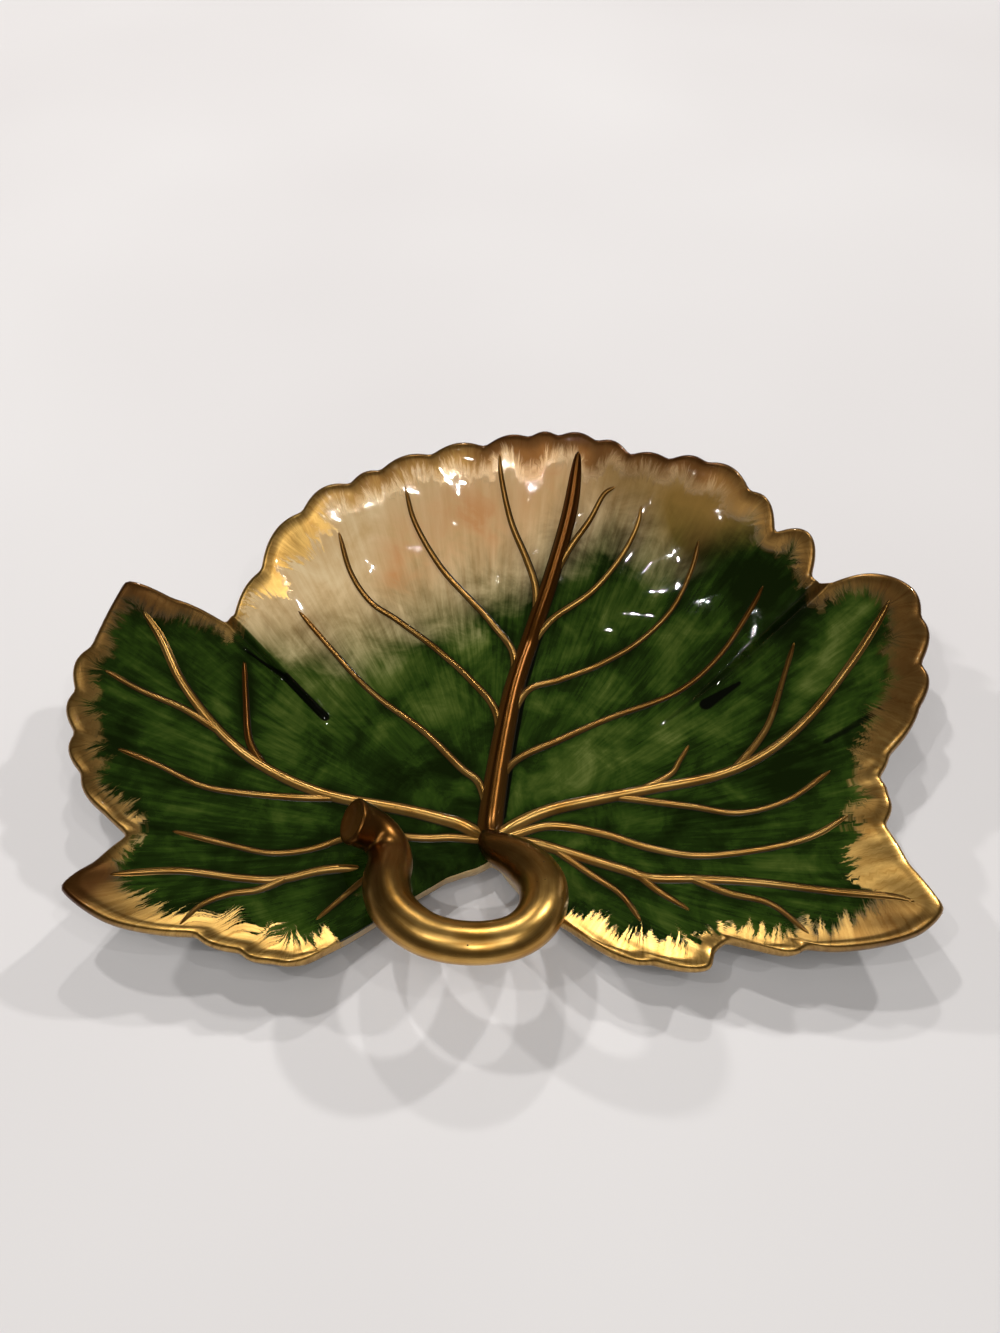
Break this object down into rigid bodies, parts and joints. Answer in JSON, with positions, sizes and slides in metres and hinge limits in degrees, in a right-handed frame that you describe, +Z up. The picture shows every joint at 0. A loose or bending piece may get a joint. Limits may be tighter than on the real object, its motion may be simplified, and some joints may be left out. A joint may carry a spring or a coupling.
{
  "type": "vine leaf dish",
  "caption": "Ceramic vine-leaf dish with a raised bowl-like back lobe, scalloped gilt rim, raised gilt veins, a rolled-stalk finger loop and a round foot.",
  "frame": {"origin": "centre of the foot ring's resting face", "axes": "+Z up, +X along the leaf's width to the viewer's right, +Y towards the raised back lobe, the finger loop on the -Y side"},
  "size_m": [0.2759, 0.1923, 0.0469],
  "materials": {
    "green_glaze": "gloss green glaze brushed in streaks, cream at the back and gilt at the rim",
    "gilding": "burnished gilding over glaze",
    "unglazed_biscuit": "matt unglazed clay"
  },
  "bodies": {
    "root": {"leaf_body": "green_glaze", "foot_ring": "unglazed_biscuit", "stem_handle": "gilding", "midrib": "gilding", "rib_left": "gilding", "rib_left_second": "gilding", "rib_lower_left": "gilding", "rib_right": "gilding", "rib_right_second": "gilding", "rib_lower_right": "gilding", "midrib_vein_l1": "gilding", "midrib_vein_l2": "gilding", "midrib_vein_l3": "gilding", "midrib_vein_l4": "gilding", "midrib_vein_r1": "gilding", "midrib_vein_r2": "gilding", "midrib_vein_r3": "gilding", "midrib_vein_r4": "gilding", "left_vein_1": "gilding", "left_vein_2": "gilding", "left_vein_3": "gilding", "lower_left_vein_1": "gilding", "lower_left_vein_2": "gilding", "right_vein_1": "gilding", "right_vein_2": "gilding", "right_vein_3": "gilding", "lower_right_vein_1": "gilding", "lower_right_vein_2": "gilding", "lower_right_vein_3": "gilding"}
  },
  "joints": []
}
